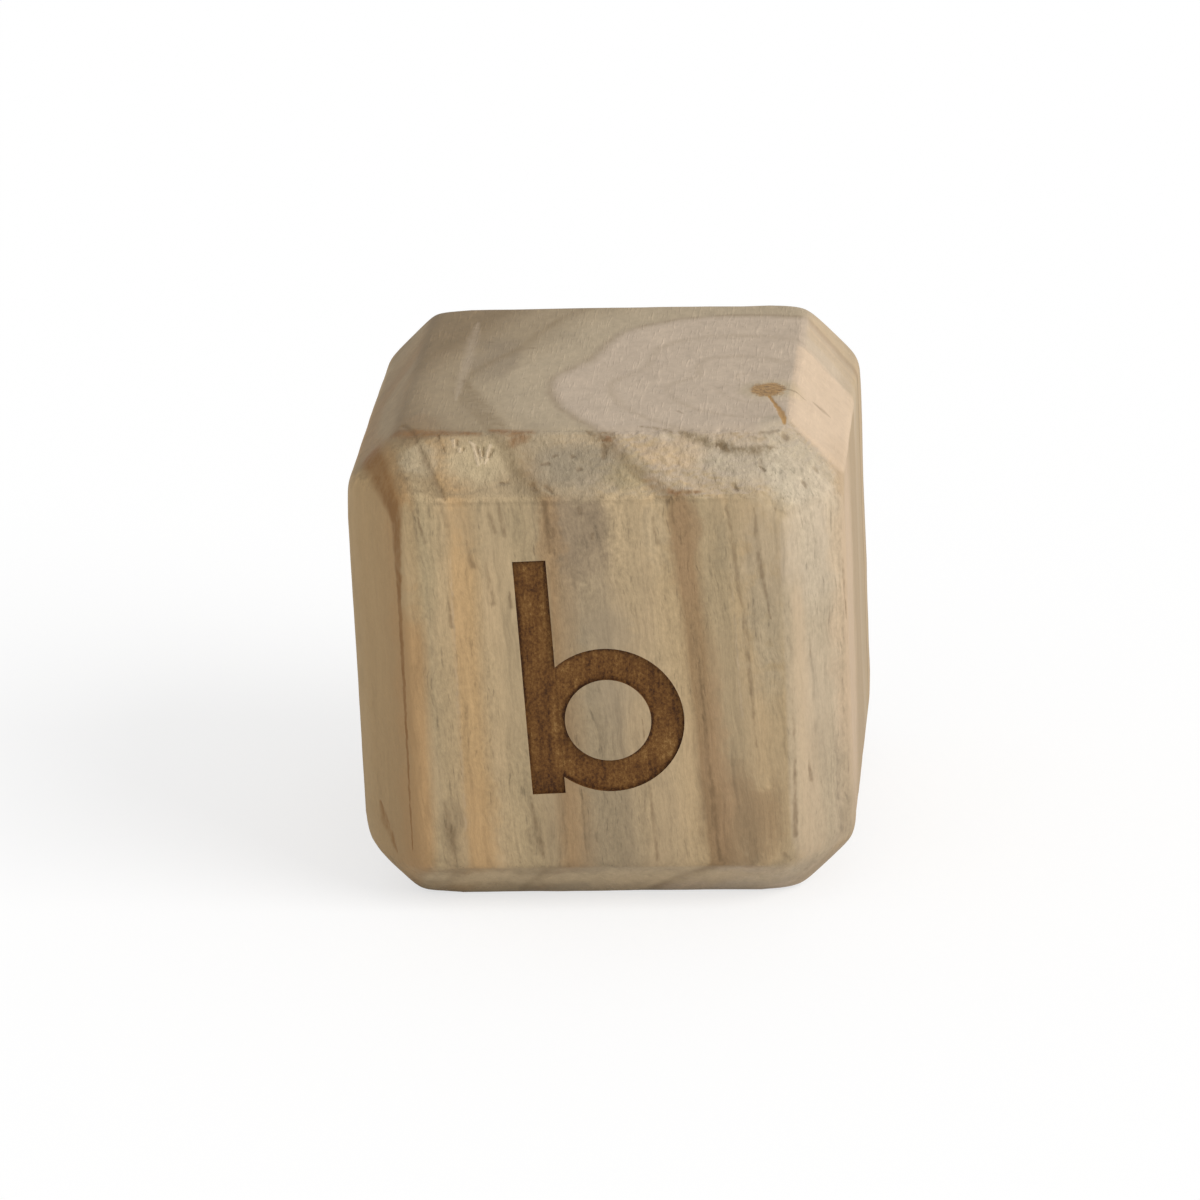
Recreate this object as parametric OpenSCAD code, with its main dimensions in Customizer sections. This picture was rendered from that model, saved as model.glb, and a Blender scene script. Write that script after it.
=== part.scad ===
// Wooden alphabet block: a cube of solid pine with every edge bevelled, its
// corners sanded round, and one lower-case letter burnt into the front face.
// The block stands on Z = 0, centred on the Z axis, with the letter facing -Y.

/* [Block] */
// Distance between two opposite faces
block_size = 45; // [35:0.5:60]
// Width that a bevel takes off each of the two faces that it joins
bevel_leg = 5; // [3:0.25:7]
// Radius that softens the line where a face meets a bevel
edge_round = 1.5; // [0.5:0.1:2.5]
// Depth that sanding takes off each point where three bevels meet
corner_sanding = 1.25; // [0.5:0.05:2.5]

/* [Letter] */
// Overall height of the letter
letter_height = 22.5; // [16:0.5:24]
// Outer diameter of the bowl
bowl_diameter = 13.8; // [11:0.1:16]
// Width of the stem and of the bowl's ring
stroke_width = 3; // [2:0.1:3.5]
// Width of the stretch where the bowl runs into the stem
join_width = 2.5; // [1:0.1:3]
// Depth of the burnt recess
burn_depth = 0.4; // [0.2:0.05:0.8]
// Lean of the letter, anticlockwise seen from the front
letter_lean = 2; // [-5:0.5:5]
// How far the letter's middle sits to the right of the face's middle
letter_right = 0.4; // [-2:0.1:2]
// How far the letter's middle sits above the face's middle
letter_up = 0.7; // [-2:0.1:2]

/* [Hidden] */

wood = [0.70, 0.61, 0.48];
// The letter's cutting solid stands this far out of the face
cutter_clear = 1;

half = block_size / 2;
// Half of the flat width that two bevels leave on a face
flat_half = half - bevel_leg;
// How far a softening arc runs along the face and along the bevel it joins
arc_run = edge_round * tan(45 / 2);
// Distance from the block's middle, along each axis, at which three bevels meet
bevel_meet = half - bevel_leg / 2;
// Radius of the ball that the corners are sanded back to
sanded_radius = bevel_meet * sqrt(3) - corner_sanding;
letter_width = stroke_width + bowl_diameter - join_width;

// Ends of the two softening arcs beside the face that looks along +X, in order
arc_ends = [
    for (side = [-1, 1])
        let (
            on_face = [half, side * (flat_half - arc_run)],
            on_bevel = [half - arc_run * cos(45), side * (flat_half + arc_run * sin(45))]
        )
        each side < 0 ? [on_bevel, on_face] : [on_face, on_bevel]
];

function turned(p, angle) =
    [p.x * cos(angle) - p.y * sin(angle), p.x * sin(angle) + p.y * cos(angle)];

// The block seen along one axis: an octagon with softened corners
module bevelled_outline() {
    polygon([for (angle = [0 : 90 : 270], p = arc_ends) turned(p, angle)]);
    for (angle = [0 : 90 : 270], side = [-1, 1])
        rotate(angle)
            translate([half - edge_round, side * (flat_half - arc_run)])
                circle(r = edge_round, $fn = 64);
}

module bevelled_bar() {
    linear_extrude(block_size, center = true) bevelled_outline();
}

// Three crossed bars share only the bevelled cube; the ball sands its corners
module blank() {
    intersection() {
        bevelled_bar();
        rotate([90, 0, 0]) bevelled_bar();
        rotate([0, 90, 0]) bevelled_bar();
        sphere(r = sanded_radius, $fn = 128);
    }
}

// Lower-case b: a stem with square ends, and a round bowl level with its foot
module letter_outline() {
    translate([-letter_width / 2, -letter_height / 2]) {
        square([stroke_width, letter_height]);
        translate([letter_width - bowl_diameter / 2, bowl_diameter / 2])
            difference() {
                circle(d = bowl_diameter, $fn = 128);
                circle(d = bowl_diameter - 2 * stroke_width, $fn = 128);
            }
    }
}

module letter_recess() {
    translate([letter_right, burn_depth - half, letter_up])
        rotate([90, 0, 0])
            rotate(letter_lean)
                linear_extrude(burn_depth + cutter_clear) letter_outline();
}

module block() {
    color(wood)
        translate([0, 0, half])
            difference() {
                blank();
                letter_recess();
            }
}

block();
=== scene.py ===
"""Wooden alphabet block: one cube of bare pine, bevelled and sanded by hand, with a burnt letter.

The pine is one solid pattern in the block's own millimetres, measured from the block's middle, so
the growth rings on top run over the bevels and come out as stripes on the sides.
"""
from math import cos, pi, radians, sin, sqrt

import bpy
import numpy as np
from mathutils import Matrix, Vector


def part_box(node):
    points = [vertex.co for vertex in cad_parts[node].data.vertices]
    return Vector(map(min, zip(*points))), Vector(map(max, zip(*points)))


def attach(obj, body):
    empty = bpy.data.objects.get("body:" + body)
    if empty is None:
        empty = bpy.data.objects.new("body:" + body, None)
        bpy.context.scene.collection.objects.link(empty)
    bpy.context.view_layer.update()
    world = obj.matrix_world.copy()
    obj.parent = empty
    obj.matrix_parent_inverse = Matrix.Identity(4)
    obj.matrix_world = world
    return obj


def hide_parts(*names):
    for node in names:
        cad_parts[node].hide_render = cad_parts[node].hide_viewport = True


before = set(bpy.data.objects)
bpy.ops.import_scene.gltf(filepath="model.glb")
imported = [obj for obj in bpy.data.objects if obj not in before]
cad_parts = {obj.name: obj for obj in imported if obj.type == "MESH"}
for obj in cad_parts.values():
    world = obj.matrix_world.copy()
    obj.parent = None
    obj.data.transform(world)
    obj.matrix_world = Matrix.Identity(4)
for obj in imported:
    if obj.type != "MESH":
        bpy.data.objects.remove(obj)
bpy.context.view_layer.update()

MM = 0.001


# ---------------------------------------------------------------- sizes
# All in mm, and places are measured from the block's middle
low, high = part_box("block")
SIDE = (high[0] - low[0]) / MM
HALF = SIDE / 2
MIDDLE = Vector((0, 0, HALF * MM))

# How far each bevel runs in from the edge, on the first face named and on the second
BEVELS = {
    ("front", "top"): (4.9, 4.6),
    ("front", "bottom"): (4.6, 4.8),
    ("front", "left"): (5.4, 5.2),
    ("front", "right"): (5.2, 5.5),
    ("top", "left"): (5.0, 4.9),
    ("top", "right"): (4.8, 5.1),
    ("back", "top"): (5.0, 5.3),
    ("back", "bottom"): (4.8, 5.1),
    ("back", "left"): (5.2, 5.0),
    ("back", "right"): (4.9, 5.2),
    ("bottom", "left"): (4.2, 5.6),
    ("bottom", "right"): (4.8, 4.8),
}
FACES = {
    "front": Vector((0, -1, 0)), "back": Vector((0, 1, 0)),
    "left": Vector((-1, 0, 0)), "right": Vector((1, 0, 0)),
    "bottom": Vector((0, 0, -1)), "top": Vector((0, 0, 1)),
}
# Radius that sanding leaves on the corners, and how much more some of them lost
CORNER_RADIUS = 33.3
CORNER_WEAR = {
    ("right", "front", "bottom"): 0.3,
    ("left", "front", "top"): 0.1,
    ("right", "front", "top"): 0.8,
    ("right", "back", "top"): 0.4,
    ("right", "back", "bottom"): 0.2,
}
# Bevels that were sanded rounder than the rest; 1 is as round as the corners
ROUNDED = {
    ("left", "bottom"): 1,
    ("right", "bottom"): 1,
    ("back", "bottom"): 1,
    ("top", "left"): 0.8,
}

# The burnt letter b: one upright bar and one ring that overlap, level at the foot
LETTER_HEIGHT = 22.5
BOWL_ACROSS = 13.8
STROKE = 3.0
OVERLAP = 2.5
BAR_DEPTH = 0.4
BOWL_DEPTH = 0.37
LETTER_LEAN = radians(2)
LETTER_PLACE = Vector((0.4, -HALF, 0.7))
LETTER_WIDTH = STROKE + BOWL_ACROSS - OVERLAP
BAR_ACROSS = (STROKE - LETTER_WIDTH) / 2
BOWL_MIDDLE = ((LETTER_WIDTH - BOWL_ACROSS) / 2, (BOWL_ACROSS - LETTER_HEIGHT) / 2)
BOWL_STEPS = 72


# ---------------------------------------------------------------- how the surface is worked
# Where a name holds two numbers, the work begins at the first and is full at the second

MESH_STEP = 0.41
# The mesh is cut finer where the grain is torn at least this much, and this near to the marks, in
# half widths of their lines
FINE_TORN = 0.3
FINE_NEAR = 2.4
FINE_CUTS = 2
# Points of the letter's ring that are closer than this become one
WELD = 0.01
# A point's weight in a vertex group is rounded to this many steps
WEIGHT_STEPS = 10
# Faces that meet at less than this are shaded as one
SMOOTH_UNDER = radians(35)

# How far one pass of sanding draws a point to its neighbours, and how many passes the whole block
# gets, and how many more its round corners and bevels
SANDING_FACTOR = 0.5
LIGHT_PASSES = 3
ROUND_PASSES = 40
# How squarely a point lies towards a worn corner, as a cosine
NEAR_WORN_CORNER = (0.93, 0.99)
# How far out a point lies: at any corner, and over a bevel that was sanded round
ROUND_CORNER = (31.5, 33)
ROUND_BEVEL = (26, 28)

# How far out a point lies over the torn bevel, and at the corner on its right
TORN_BEVEL = (27.6, 28.5)
TORN_CORNER = (31.4, 31.9)
# The left of the torn bevel has only this share; further right it grows to the whole
TORN_SHARE_LEFT = 0.4
TORN_ACROSS = (-6, 4)
# How near a point is to the line of a carved mark, in half widths
CARVED_NEAR = (1.6, 0.2)

# Unevenness: size of the lumps, and how deep they lie
HAND_SANDING = (8, 0.16)
TORN_GRAIN = (1.0, 0.2)
TORN_FIBRES = (0.45, 0.14)


# ---------------------------------------------------------------- marks this block carries
# Each mark is a set of lines, each line a row of points: where it runs, and how wide it is there
RESIN_CRACK = [
    [(15.5, -9.2, 22.4, 0.3), (16.1, -11.1, 22.4, 0.3), (16.7, -13.0, 22.4, 0.55),
     (17.0, -14.6, 22.3, 0.55), (17.4, -16.2, 22.0, 0.3)],
]
PITH_LINES = [
    [(16.8, -7.2, 22.5, 0.4), (17.6, -7.6, 22.3, 0.4), (18.6, -7.5, 21.6, 0.3),
     (19.4, -7.3, 20.8, 0.1)],
    [(20.0, -5.7, 20.2, 0.35), (21.2, -5.3, 19.0, 0.2)],
]
LIGHT_STREAK = [
    [(-13.1, 13.0, 22.4, 0.3), (-13.1, 9.0, 22.4, 1.0), (-13.0, -3.3, 22.4, 0.8),
     (-13.0, -9.0, 22.4, 0.2)],
]
RING_ARC = [
    [(4.4, -16.8, 22.4, 0.3), (8.0, -17.9, 22.0, 0.6), (9.8, -18.4, 21.6, 0.8),
     (12.2, -18.8, 21.0, 1.3)],
    [(12.2, -19.2, 20.9, 0.6), (15.2, -19.1, 20.8, 0.9), (17.0, -18.4, 20.9, 0.5)],
    [(15.2, -18.0, 22.0, 0.4), (16.9, -17.8, 22.2, 0.5)],
    [(17.6, -17.4, 22.2, 0.9), (18.2, -18.2, 21.6, 0.4)],
]
EDGE_LINE = [
    [(-18.5, -16.5, 22.2, 1.0), (-16.0, -17.4, 22.2, 1.0), (-9.9, -17.8, 22.2, 0.4)],
    [(-8.9, -17.3, 22.3, 0.6), (-7.0, -17.7, 22.2, 0.8), (-5.3, -17.6, 22.2, 0.6)],
    [(-7.0, -18.5, 21.6, 0.7), (-6.2, -18.1, 21.9, 0.9)],
    [(7.2, -21.8, 18.0, 0.5), (7.8, -22.0, 17.9, 0.5), (9.9, -21.9, 17.9, 0.3)],
]
KNOT_MARKS = [
    [(-0.3, -17.6, 22.2, 0.4), (0.5, -18.1, 21.9, 0.9), (1.2, -18.3, 21.7, 0.6)],
    [(1.2, -17.8, 22.1, 0.5), (1.9, -18.1, 21.9, 1.1), (1.5, -18.8, 21.2, 0.9),
     (1.2, -19.5, 20.5, 0.5)],
    [(11.3, -18.8, 21.2, 0.6), (12.2, -18.9, 21.1, 0.9)],
    [(17.4, -16.4, 21.8, 0.4), (17.6, -16.8, 21.5, 0.9), (17.5, -17.1, 21.2, 0.8)],
]
SPECKS = [
    [(-11.5, 7.4, 22.5, 0.5), (-11.2, 7.4, 22.5, 0.4)],
    [(-7.5, 5.5, 22.5, 0.45), (-7.2, 5.5, 22.5, 0.4)],
    [(-11.8, -9.3, 22.5, 0.5), (-11.5, -9.2, 22.5, 0.5)],
    [(7.5, -13.0, 22.5, 0.4), (7.9, -13.6, 22.5, 0.3)],
    [(-18.4, -16.3, 22.3, 0.9), (-16.8, -16.7, 22.4, 0.7)],
    [(-0.9, -22.4, 16.7, 0.4), (-0.8, -22.4, 16.3, 0.35)],
    [(0.2, -22.4, 14.3, 0.3), (0.2, -22.4, 13.8, 0.3)],
    [(-3.3, -22.4, 14.7, 0.4), (-3.2, -22.4, 14.1, 0.35)],
    [(19.4, -6.4, 20.6, 0.4), (20.2, -6.1, 19.8, 0.7), (20.7, -6.0, 19.3, 0.4)],
    [(15.3, -17.7, 22.0, 0.3), (16.0, -17.5, 21.8, 0.4), (16.7, -16.8, 21.8, 0.3)],
]
# The grooves between the chips' ridges, carved below and painted dark as their shadow
CHIPS = [
    [(-10.2, -18.8, 21.3, 0.35), (-9.8, -19.5, 20.6, 0.2)],
    [(-9.6, -18.8, 21.3, 0.3), (-9.6, -19.4, 20.7, 0.2)],
    [(-8.8, -19.0, 21.1, 0.45), (-9.1, -19.4, 20.6, 0.25)],
    [(-12.0, -18.3, 21.8, 0.3), (-12.0, -18.6, 21.5, 0.2)],
    [(-11.4, -18.9, 21.3, 0.35), (-11.5, -19.1, 21.1, 0.25)],
    [(15.2, -19.9, 20.1, 0.4), (15.6, -20.7, 19.3, 0.3)],
    [(12.9, -21.6, 18.4, 0.5), (13.0, -21.8, 18.2, 0.4)],
]
# The chips' raised ridges, painted light as a highlight
CHIP_RIDGES = [
    [(-10.8, -18.5, 21.7, 0.25), (-10.4, -18.8, 21.4, 0.4), (-10.0, -20.0, 20.1, 0.3)],
    [(-9.9, -19.0, 21.1, 0.3), (-9.7, -19.8, 20.2, 0.25)],
    [(-9.0, -18.8, 21.4, 0.35), (-9.4, -19.9, 20.2, 0.25)],
    [(-12.3, -18.4, 21.8, 0.35), (-12.2, -18.7, 21.4, 0.25)],
    [(-11.7, -19.0, 21.3, 0.4), (-11.7, -19.1, 21.1, 0.35)],
]
RING_GROOVES = [
    [(-17.1, -15.6, 22.3, 0.6), (-16.1, -17.3, 22.2, 0.6), (-15.3, -18.7, 21.4, 0.4),
     (-14.5, -19.9, 20.1, 0.55), (-13.2, -21.6, 18.3, 0.5), (-12.9, -22.2, 17.7, 0.3)],
    [(-13.7, -17.9, 22.2, 0.25), (-13.0, -19.1, 21.0, 0.15)],
]
RING_SHADE = [
    [(-12.7, -3.5, 22.4, 0.5), (-11.0, -9.5, 22.4, 1.6), (-9.8, -12.7, 22.4, 1.6),
     (-8.2, -16.5, 22.4, 1.0)],
    [(-7.5, -18.8, 21.3, 0.8), (-6.1, -20.6, 19.4, 1.0), (-4.4, -22.2, 17.8, 1.0)],
]
PITS = [
    [(-3.2, -19.4, 20.5, 0.3), (-2.8, -19.3, 20.6, 0.2)],
    [(-4.3, -19.9, 20.0, 0.3), (-3.7, -19.9, 20.0, 0.4)],
    [(-1.6, -19.4, 20.5, 0.4), (-1.3, -19.4, 20.5, 0.2)],
    [(-1.0, -20.3, 19.6, 0.45), (-0.7, -20.3, 19.6, 0.3)],
    [(12.9, -21.6, 18.2, 0.25), (13.2, -21.8, 18.0, 0.35)],
    [(15.2, -20.2, 19.6, 0.2), (15.6, -20.4, 19.3, 0.25)],
    [(19.9, -17.5, 18.4, 0.4), (20.2, -17.6, 18.1, 0.3)],
    [(18.9, -19.1, 17.7, 0.4), (19.2, -19.4, 17.3, 0.3)],
    [(-5.1, -21.4, 18.4, 0.6), (-4.7, -21.7, 18.1, 0.3)],
    [(-3.8, -21.5, 18.3, 0.5), (-3.3, -21.9, 18.0, 0.2)],
    [(-8.0, -21.1, 18.7, 0.2), (-7.4, -21.1, 18.7, 0.4)],
]
CORNER_CRACKS = [
    [(18.8, -20.4, 5.8, 0.15), (18.9, -20.3, 2.4, 0.4), (19.1, -20.2, -0.8, 0.15)],
    [(18.6, -20.9, -8.3, 0.2), (18.8, -20.8, -10.3, 0.45)],
    [(21.8, -17.4, 13.0, 0.15), (22.0, -17.2, 8.0, 0.35), (22.3, -17.0, 3.7, 0.15)],
    [(19.9, -19.3, 9.4, 0.2), (20.0, -19.2, 8.4, 0.4)],
    [(16.5, -22.1, 16.3, 0.15), (17.0, -22.1, 14.3, 0.3), (17.2, -21.9, 10.4, 0.2)],
    [(17.3, -22.0, 3.9, 0.15), (17.4, -22.0, -5.9, 0.35), (17.3, -22.2, -15.1, 0.45)],
    [(16.2, -22.4, -17.0, 0.5), (17.6, -21.6, -19.2, 0.3)],
]
PEACH_BAND = [
    [(18.0, -21.3, 8.0, 1.2), (18.1, -21.2, 0.0, 2.0), (18.5, -21.0, -10.6, 2.8),
     (18.7, -20.8, -17.0, 3.4)],
]
FOOT_MARK = [
    [(-20.7, -18.9, -12.8, 0.3), (-20.4, -19.2, -14.3, 1.0), (-19.7, -19.9, -15.9, 0.7),
     (-19.3, -20.2, -17.3, 0.2)],
]
LEFT_STRIPE = [
    [(-20.2, -16.4, 20.0, 2.3), (-19.1, -18.8, 19.4, 2.2), (-17.6, -21.6, 17.0, 1.8),
     (-17.4, -22.0, 15.4, 1.1), (-17.5, -22.0, 8.0, 0.5), (-17.7, -21.9, -17.0, 0.15)],
]
FRONT_LINES = [
    [(14.7, -22.4, 16.5, 0.2), (15.0, -22.4, 11.6, 0.5), (15.8, -22.4, 6.0, 0.2)],
    [(12.2, -22.5, 17.3, 0.3), (13.5, -22.5, 5.0, 0.5), (14.1, -22.5, -6.4, 0.2)],
    [(9.2, -22.5, 1.8, 0.15), (9.9, -22.5, -10.5, 0.5), (10.4, -22.5, -17.4, 0.4)],
    [(3.9, -22.5, -3.6, 0.15), (4.7, -22.5, -17.3, 0.35)],
    [(5.6, -22.5, 15.8, 0.2), (5.9, -22.5, 13.3, 0.5)],
    [(-4.0, -22.5, 17.2, 0.6), (-3.7, -22.5, 12.6, 0.3)],
    [(-15.4, -22.4, 16.0, 0.15), (-14.9, -22.4, 13.6, 0.35)],
    [(-13.3, -22.4, 17.5, 0.2), (-12.8, -22.4, 15.2, 0.4)],
    [(-11.1, -22.5, 13.8, 0.15), (-10.7, -22.5, 11.4, 0.6)],
    [(-9.2, -22.3, 17.6, 0.3), (-8.6, -22.4, 14.6, 0.5)],
    [(-8.2, -22.3, 17.5, 0.3), (-7.65, -22.5, 14.2, 0.4)],
    [(-9.5, -22.4, 11.6, 0.2), (-9.1, -22.4, 7.8, 0.6)],
    [(-7.5, -22.4, 8.8, 0.15), (-7.5, -22.4, 7.4, 0.4)],
    [(-13.1, -22.4, 8.6, 0.15), (-12.9, -22.4, 5.6, 0.4)],
    [(-14.5, -22.5, -11.5, 0.2), (-14.0, -22.5, -14.5, 0.8), (-13.7, -22.5, -17.3, 0.3)],
    [(-6.6, -22.5, -11.0, 0.2), (-6.1, -22.5, -14.5, 0.7), (-5.6, -22.5, -17.0, 0.3)],
]
PALE_LINES = [
    [(-12.7, -22.5, 12.0, 0.15), (-12.7, -22.5, -2.0, 0.3), (-12.6, -22.5, -15.2, 0.15)],
    [(12.4, -22.5, 11.6, 0.15), (12.9, -22.5, -3.7, 0.25)],
    [(-2.0, -21.2, 18.7, 0.2), (0.4, -21.1, 18.7, 0.25), (1.2, -20.0, 19.9, 0.2)],
]
# Marks that are carved into the surface, and how deep; less than 0 stands proud
CARVED = [
    (RESIN_CRACK, 0.12),
    (KNOT_MARKS, 0.06),
    (CHIPS, 0.13),
    (CHIP_RIDGES, -0.11),
    (PITS, 0.1),
    (RING_GROOVES, 0.1),
    (CORNER_CRACKS, 0.08),
    (FOOT_MARK, 0.08),
]


def stretches(lines):
    """Each straight stretch of some lines: its two ends and its width at both."""
    for line in lines:
        for (*start, start_width), (*end, end_width) in zip(line, line[1:]):
            yield Vector(start), Vector(end), start_width, end_width


# ---------------------------------------------------------------- making the mesh
def select_none():
    """Leave no object selected."""
    bpy.ops.object.select_all(action="DESELECT")


def select_only(piece):
    """Select one object and make it the one that tools work on."""
    select_none()
    piece.select_set(True)
    bpy.context.view_layer.objects.active = piece


def finish_modifiers(piece):
    """Make the changes of a piece's modifiers part of its mesh."""
    select_only(piece)
    for modifier in list(piece.modifiers):
        bpy.ops.object.modifier_apply(modifier=modifier.name)


def saw_off(point, outward):
    """Cut the mesh in edit mode along a plane, drop what lies outside it and close the cut."""
    bpy.ops.mesh.select_all(action="SELECT")
    bpy.ops.mesh.bisect(plane_co=MIDDLE + point * MM, plane_no=outward,
                        use_fill=True, clear_outer=True)


def corner_heading(names):
    """Which way the corner between three faces points."""
    return sum((FACES[name] for name in names), Vector()).normalized()


def bevel_plane(first, second):
    """The plane of a bevel: which way it faces and how far it is from the block's middle."""
    on_first, on_second = BEVELS[first, second]
    a, b = FACES[first], FACES[second]
    outward = (a * on_first + b * on_second).normalized()
    return outward, outward.dot((a + b) * HALF - b * on_first)


def sawn_blank():
    """A cube with its twelve bevels, still with sharp lines and points."""
    select_none()
    bpy.ops.mesh.primitive_cube_add(size=SIDE * MM, location=MIDDLE)
    blank = bpy.context.object
    blank.name = "pine_block"
    bpy.ops.object.transform_apply(location=True, rotation=True, scale=True)
    bpy.ops.object.mode_set(mode="EDIT")
    for first, second in BEVELS:
        outward, reach = bevel_plane(first, second)
        saw_off(outward * reach, outward)
    bpy.ops.object.mode_set(mode="OBJECT")
    return blank


def read_vectors(collection, name):
    """One vector of each of a mesh's points or faces, as the rows of an array."""
    flat = np.empty(len(collection) * 3, dtype=np.float32)
    collection.foreach_get(name, flat)
    return flat.reshape(-1, 3)


def from_middle(spots):
    """Spots in the scene's metres, in mm from the block's middle."""
    return (spots - np.array(MIDDLE)) / MM


def places(piece):
    """Where the mesh's points are, in mm from the block's middle."""
    return from_middle(read_vectors(piece.data.vertices, "co"))


def move_to(piece, points):
    """Put the mesh's points at these places, in mm from the block's middle."""
    piece.data.vertices.foreach_set("co", (points * MM + np.array(MIDDLE)).ravel())
    piece.data.update()


def ease(values, start, end):
    """0 before start, 1 after end, smooth between."""
    t = np.clip((values - start) / (end - start), 0, 1)
    return t * t * (3 - 2 * t)


def sand_corners(blank):
    """Bring what stands outside the corner ball back to it, a little deeper at worn corners."""
    points = places(blank)
    reach = np.linalg.norm(points, axis=1)
    heading = points / reach[:, None]
    limit = np.full(len(points), CORNER_RADIUS)
    for names, wear in CORNER_WEAR.items():
        limit -= wear * ease(heading @ np.array(corner_heading(names)), *NEAR_WORN_CORNER)
    move_to(blank, points * np.minimum(1, limit / reach)[:, None])


def paint(blank, name, weights):
    """Keep weights from 0 to 1 as a vertex group."""
    group = blank.vertex_groups.new(name=name)
    steps = np.round(np.clip(weights, 0, 1) * WEIGHT_STEPS).astype(int)
    for step in range(1, WEIGHT_STEPS + 1):
        chosen = np.nonzero(steps == step)[0].tolist()
        if chosen:
            group.add(chosen, step / WEIGHT_STEPS, "REPLACE")


def sand_lines(blank, passes, group=""):
    """Smooth the mesh in some passes, all of it or as far as a vertex group says."""
    smooth = blank.modifiers.new("sanded", "SMOOTH")
    smooth.factor = SANDING_FACTOR
    smooth.iterations = passes
    smooth.vertex_group = group
    finish_modifiers(blank)


def torn_places(points):
    """1 where the end grain is torn: the front top bevel and the corner at its right."""
    sloped = points @ np.array(FACES["front"] + FACES["top"]) / sqrt(2)
    corner = points @ np.array(corner_heading(("right", "front", "top")))
    return np.maximum(ease(sloped, *TORN_BEVEL), ease(corner, *TORN_CORNER))


def line_gaps(points, lines):
    """How far each point is from the nearest of some lines, in half widths of that line."""
    nearest = np.full(len(points), 100.0)
    for start, end, start_width, end_width in stretches(lines):
        start, along = np.array(start), np.array(end - start)
        share = np.clip((points - start) @ along / (along @ along), 0, 1)
        gap = np.linalg.norm(points - start - share[:, None] * along, axis=1)
        nearest = np.minimum(nearest, gap * 2 / (start_width + share * (end_width - start_width)))
    return nearest


def refine(blank):
    """Give the torn places and the carved marks a finer mesh than the rest."""
    middles = from_middle(read_vectors(blank.data.polygons, "center"))
    chosen = torn_places(middles) > FINE_TORN
    for lines, _ in CARVED:
        chosen |= line_gaps(middles, lines) < FINE_NEAR
    select_only(blank)
    bpy.ops.object.mode_set(mode="EDIT")
    bpy.ops.mesh.select_mode(type="FACE")
    bpy.ops.mesh.select_all(action="DESELECT")
    bpy.ops.object.mode_set(mode="OBJECT")
    blank.data.polygons.foreach_set("select", chosen)
    bpy.ops.object.mode_set(mode="EDIT")
    bpy.ops.mesh.subdivide(number_cuts=FINE_CUTS)
    bpy.ops.object.mode_set(mode="OBJECT")


def displace(blank, name, lump, strength, group=""):
    """Sink the surface unevenly, in lumps of the given size, by up to the given strength."""
    lumps = bpy.data.textures.new(name, "CLOUDS")
    lumps.noise_scale = lump * MM
    lumps.noise_depth = 2
    push = blank.modifiers.new(name, "DISPLACE")
    push.texture = lumps
    push.texture_coords = "LOCAL"
    push.strength = strength * MM
    push.mid_level = 1
    push.vertex_group = group
    finish_modifiers(blank)


def carve(blank):
    """Press the cracks, chips and knot marks into the surface, and raise the chips' ridges."""
    points = places(blank)
    outward = read_vectors(blank.data.vertex_normals, "vector")
    sunk = np.zeros(len(points))
    for lines, depth in CARVED:
        sunk += depth * ease(line_gaps(points, lines), *CARVED_NEAR)
    move_to(blank, points - sunk[:, None] * outward)


def soften(blank):
    """Remesh the blank evenly, then sand its corners and lines soft."""
    remesh = blank.modifiers.new("even", "REMESH")
    remesh.mode = "VOXEL"
    remesh.voxel_size = MESH_STEP * MM
    finish_modifiers(blank)
    sand_corners(blank)
    sand_lines(blank, LIGHT_PASSES)
    points = places(blank)
    softness = ease(np.linalg.norm(points, axis=1), *ROUND_CORNER)
    for (first, second), share in ROUNDED.items():
        along = points @ np.array(FACES[first] + FACES[second]) / sqrt(2)
        softness = np.maximum(softness, share * ease(along, *ROUND_BEVEL))
    paint(blank, "rounded", softness)
    sand_lines(blank, ROUND_PASSES, "rounded")


def weather(blank):
    """Leave the surface as hand sanding, torn grain and small accidents did."""
    displace(blank, "hand_sanding", *HAND_SANDING)
    refine(blank)
    points = places(blank)
    share = TORN_SHARE_LEFT + (1 - TORN_SHARE_LEFT) * ease(points[:, 0], *TORN_ACROSS)
    paint(blank, "torn", torn_places(points) * share)
    displace(blank, "torn_grain", *TORN_GRAIN, "torn")
    displace(blank, "torn_fibres", *TORN_FIBRES, "torn")
    carve(blank)


def letter_bar():
    """A box that cuts the letter's upright; half its depth stands in front of the face."""
    select_none()
    bpy.ops.mesh.primitive_cube_add(size=1)
    bar = bpy.context.object
    bar.scale = (STROKE * MM, 2 * BAR_DEPTH * MM, LETTER_HEIGHT * MM)
    bar.location = (BAR_ACROSS * MM, 0, 0)
    bpy.ops.object.transform_apply(location=True, rotation=True, scale=True)
    return bar


def letter_ring():
    """A ring that cuts the letter's bowl: a flat oblong spun once round the bowl's middle."""
    select_none()
    across, up = BOWL_MIDDLE
    bpy.ops.mesh.primitive_plane_add(size=1)
    ring = bpy.context.object
    ring.scale = (STROKE * MM, 2 * BOWL_DEPTH * MM, 1)
    ring.location = ((across + (BOWL_ACROSS - STROKE) / 2) * MM, 0, up * MM)
    bpy.ops.object.transform_apply(location=True, rotation=True, scale=True)
    bpy.ops.object.mode_set(mode="EDIT")
    bpy.ops.mesh.select_all(action="SELECT")
    bpy.ops.mesh.delete(type="ONLY_FACE")
    bpy.ops.mesh.select_all(action="SELECT")
    bpy.ops.mesh.spin(steps=BOWL_STEPS, angle=2 * pi,
                      center=(across * MM, 0, up * MM), axis=(0, 1, 0))
    bpy.ops.mesh.select_all(action="SELECT")
    bpy.ops.mesh.remove_doubles(threshold=WELD * MM)
    bpy.ops.mesh.normals_make_consistent(inside=False)
    bpy.ops.object.mode_set(mode="OBJECT")
    return ring


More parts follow.
